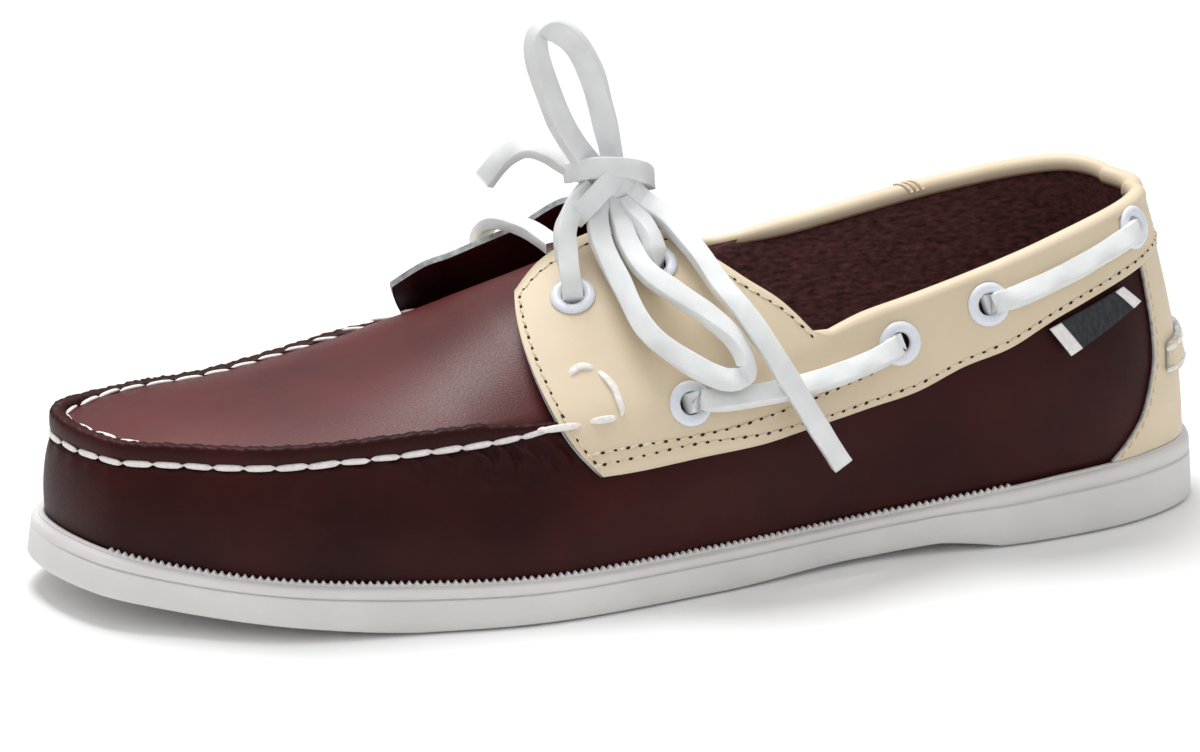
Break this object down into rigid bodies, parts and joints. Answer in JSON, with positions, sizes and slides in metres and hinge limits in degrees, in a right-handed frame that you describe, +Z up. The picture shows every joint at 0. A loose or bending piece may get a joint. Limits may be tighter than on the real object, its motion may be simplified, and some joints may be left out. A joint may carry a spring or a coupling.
{
  "type": "boat shoe",
  "caption": "Low leather boat shoe for the left foot, hollow moccasin upper on a moulded rubber sole, with collar, eyestays and a tied leather lace.",
  "frame": {"origin": "middle of the shoe's outline on the floor, under the sole", "axes": "+X from heel to toe, +Y to the outer (lateral) side of the left foot, +Z up"},
  "size_m": [0.292, 0.103, 0.1278],
  "materials": {
    "rubber_sole": "off-white moulded rubber, matt",
    "lining_suede": "dark brown brushed suede lining",
    "oxblood_leather": "smooth oxblood leather, soft gloss",
    "cream_leather": "smooth cream leather, satin",
    "lace_leather": "off-white square-cut leather lace, satin",
    "eyelet_enamel": "white lacquered metal eyelet",
    "tab_webbing": "charcoal woven tab"
  },
  "bodies": {
    "root": {"outsole": "rubber_sole", "insole": "lining_suede", "upper": "oxblood_leather", "tongue": "oxblood_leather", "collar": "cream_leather", "heel_counter": "cream_leather", "heel_tab": "cream_leather", "side_tab": "tab_webbing", "eyelet_lateral_throat_front": "eyelet_enamel", "eyelet_lateral_throat_rear": "eyelet_enamel", "eyelet_lateral_run_front": "eyelet_enamel", "eyelet_lateral_run_mid_front": "eyelet_enamel", "eyelet_lateral_run_mid_rear": "eyelet_enamel", "eyelet_lateral_run_rear": "eyelet_enamel", "eyelet_medial_throat_front": "eyelet_enamel", "eyelet_medial_throat_rear": "eyelet_enamel", "eyelet_medial_run_front": "eyelet_enamel", "eyelet_medial_run_mid_front": "eyelet_enamel", "eyelet_medial_run_mid_rear": "eyelet_enamel", "eyelet_medial_run_rear": "eyelet_enamel", "lace_run_lateral_front": "lace_leather", "lace_run_lateral_rear": "lace_leather", "lace_run_medial_front": "lace_leather", "lace_run_medial_rear": "lace_leather", "lace_crossing": "lace_leather", "lace_rise_front": "lace_leather", "lace_rise_rear": "lace_leather", "lace_knot": "lace_leather", "lace_loop_tall": "lace_leather", "lace_loop_hanging": "lace_leather", "lace_end_long": "lace_leather", "lace_end_short": "lace_leather"}
  },
  "joints": []
}
